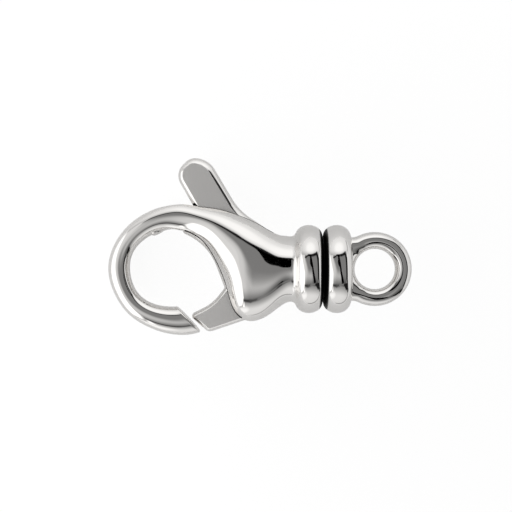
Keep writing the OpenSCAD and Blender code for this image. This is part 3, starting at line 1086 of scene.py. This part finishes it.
def polished(name, settings, flats=False, painted_shade=None, drawn=False):
    """Polished white metal with a faint unevenness and finer hairlines in its gloss. flats makes the
    trigger's two flat faces satin, the function given for painted shade gives the share of the dark
    colour that is painted on as shade where little light reaches, and drawn makes it a brushed wire."""
    material, tree = new_material(name)
    shader = tree.nodes["Principled BSDF"]
    shader.inputs["Metallic"].default_value = 1
    cloud, hair = noise_wire(tree, *CLOUD), noise_wire(tree, *HAIR)
    rough = cloud * 0.03 + hair * 0.02 + (settings.gloss_roughness - 0.02)
    shade = cloud * -0.03 + 1.015
    height, bump_mm = cloud, settings.waviness
    if drawn:
        rough = hair * 0.2 + DRAWN_ROUGHNESS
        height, bump_mm = hair, DRAWN_BUMP_MM
    if flats:
        grain = noise_wire(tree, *GRAIN)
        face = place_wire(tree, AXIS_Z, DRAWING_ORIGIN).math("ABSOLUTE").step(*SATIN_Z)
        rough = rough.mix(grain * 0.08 + settings.satin_roughness, face)
        shade = shade.mix(grain * 0.06 + settings.satin_shade, face)
        height = height.mix(grain * 1.6, face)
    colors = [shade * channel for channel in settings.metal]
    # Painted shade: the colour goes over to the dark one by the share that the function gives
    if painted_shade is not None:
        share = painted_shade(tree)
        colors = [wire.mix(dark, share) for wire, dark in zip(colors, settings.painted_dark_colour)]
        rough = rough.mix(0.5, share)
    joined = tree.nodes.new("ShaderNodeCombineColor")
    for entry, wire in zip(joined.inputs, colors):
        tree.links.new(wire.socket, entry)
    tree.links.new(joined.outputs[0], shader.inputs["Base Color"])
    tree.links.new(rough.socket, shader.inputs["Roughness"])
    bump = tree.nodes.new("ShaderNodeBump")
    bump.inputs["Distance"].default_value = bump_mm * MM
    tree.links.new(height.socket, bump.inputs["Height"])
    tree.links.new(bump.outputs[0], shader.inputs["Normal"])
    return material


def painted_gap_shade(tree):
    """Share of painted shade between the two collars: 1 in the gap, down to 0 on their rounded rims."""
    x = place_wire(tree, AXIS_X, DRAWING_ORIGIN)
    low, high = GAP_X
    return x.step(low - GAP_SOFT, low + GAP_SOFT) * x.step(high + GAP_SOFT, high - GAP_SOFT)


def painted_gap_and_slot_shade(tree):
    """Share of painted shade between the collars, and on the slot's walls and along its edges."""
    walls = tree.nodes.new("ShaderNodeAttribute")
    walls.attribute_name = "painted_shade"
    return painted_gap_shade(tree).top(Wire(tree, walls.outputs["Fac"]))


class CLASP_OT_body(bpy.types.Operator):
    """Build the cast hook, shell, neck and first collar"""

    bl_idname = "clasp.body"
    bl_label = "Cast Body"

    def execute(self, context):
        settings = context.scene.clasp_body
        mesh = body_mesh(settings)
        cutters = [
            plug(*NECK_BORE, "bore"),
            plug(*NECK_CAVITY, "cavity"),
            upright(PIVOT, PIN_R, PIN_HALF_LENGTH, 48, "pin_hole"),
        ]
        mesh = combined(mesh, cutters, "DIFFERENCE")
        mesh = combined(mesh, [lip_mesh(settings)], "UNION")
        new_piece("hook_body_cast", mesh, "hook", "hook_body",
                  polished("polished_cast_body", context.scene.clasp_metal, painted_shade=painted_gap_and_slot_shade), sharp=33)
        return {"FINISHED"}


class CLASP_OT_trigger(bpy.types.Operator):
    """Build the trigger with its thumb tab and gate"""

    bl_idname = "clasp.trigger"
    bl_label = "Trigger"

    def execute(self, context):
        mesh = trigger_mesh(context.scene.clasp_trigger)
        new_piece("trigger_plate", mesh, "trigger", "trigger",
                  polished("polished_trigger", context.scene.clasp_metal, flats=True), sharp=12)
        return {"FINISHED"}


class CLASP_OT_eye(bpy.types.Operator):
    """Build the swivel eye with its collar"""

    bl_idname = "clasp.eye"
    bl_label = "Swivel Eye"

    def execute(self, context):
        mesh = eye_mesh(context.scene.clasp_eye)
        new_piece("swivel_eye_cast", mesh, "eye", "swivel_eye",
                  polished("polished_cast_eye", context.scene.clasp_metal, painted_shade=painted_gap_shade), sharp=30)
        return {"FINISHED"}


class CLASP_OT_pin(bpy.types.Operator):
    """Give the hidden pin its metal"""

    bl_idname = "clasp.pin"
    bl_label = "Pivot Pin"

    def execute(self, context):
        pin = frame["nodes"]["pivot_pin"]
        pin.data.materials.clear()
        pin.data.materials.append(polished("drawn_pin", context.scene.clasp_metal, drawn=True))
        return {"FINISHED"}


class CLASP_OT_stage(bpy.types.Operator):
    """Build the floor, the light and the camera"""

    bl_idname = "clasp.stage"
    bl_label = "Stage"

    def execute(self, context):
        scene = context.scene
        floor = bpy.data.meshes.new("floor")
        corners = [(x * FLOOR_HALF, y * FLOOR_HALF, 0) for x, y in ((-1, -1), (1, -1), (1, 1), (-1, 1))]
        floor.from_pydata(corners, [], [(0, 1, 2, 3)])
        floor.materials.append(floor_material())
        floor = placed("floor", floor)
        camera = bpy.data.cameras.new("camera")
        camera.sensor_width = 2 * SENSOR_HALF_W
        camera.lens = SENSOR_HALF_W * CAMERA_Z / VIEW_HALF_W
        camera.clip_start, camera.clip_end = CLIP
        camera = placed("camera", camera)
        place = to_row(np.array([*VIEW_MIDDLE, CAMERA_Z]))
        turn = Matrix([AXIS_X, AXIS_Y, AXIS_Z]).transposed().to_4x4()
        camera.matrix_world = Matrix.Translation(place) @ turn
        scene.camera = camera
        unseen("tent", tent_mesh(), tent_material(scene.clasp_stage))
        card = bpy.data.meshes.new("near_card")
        corners = to_row(raised(np.array(NEAR_CARD), NEAR_CARD_Z))
        card.from_pydata(corners.tolist(), [], [list(range(len(NEAR_CARD)))])
        unseen("near_card", card, black_material())
        scene.world = white_world()
        scene.view_settings.view_transform = "Standard"
        return {"FINISHED"}


class CLASP_PT_panel(bpy.types.Panel):
    """Lists the clasp's pieces and its stage"""

    bl_label = "Swivel Clasp"
    bl_idname = "CLASP_PT_panel"
    bl_space_type = "VIEW_3D"
    bl_region_type = "UI"
    bl_category = "Clasp"

    def draw(self, context):
        for operator in OPERATORS:
            self.layout.operator(operator.bl_idname)


OPERATORS = (CLASP_OT_body, CLASP_OT_trigger, CLASP_OT_eye, CLASP_OT_pin, CLASP_OT_stage)
GROUPS = {
    "clasp_body": ClaspBodySettings, "clasp_trigger": ClaspTriggerSettings, "clasp_eye": ClaspEyeSettings,
    "clasp_metal": ClaspMetalSettings, "clasp_stage": ClaspStageSettings,
}


def register():
    for item in (*GROUPS.values(), *OPERATORS, CLASP_PT_panel):
        bpy.utils.register_class(item)
    for name, group in GROUPS.items():
        setattr(bpy.types.Scene, name, PointerProperty(type=group))


def unregister():
    for name in GROUPS:
        delattr(bpy.types.Scene, name)
    for item in (CLASP_PT_panel, *reversed(OPERATORS), *GROUPS.values()):
        bpy.utils.unregister_class(item)


def main():
    """Registers the add-on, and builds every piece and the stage."""
    register()
    bpy.ops.clasp.body()
    bpy.ops.clasp.trigger()
    bpy.ops.clasp.eye()
    bpy.ops.clasp.pin()
    bpy.ops.clasp.stage()


if __name__ == "__main__":
    main()
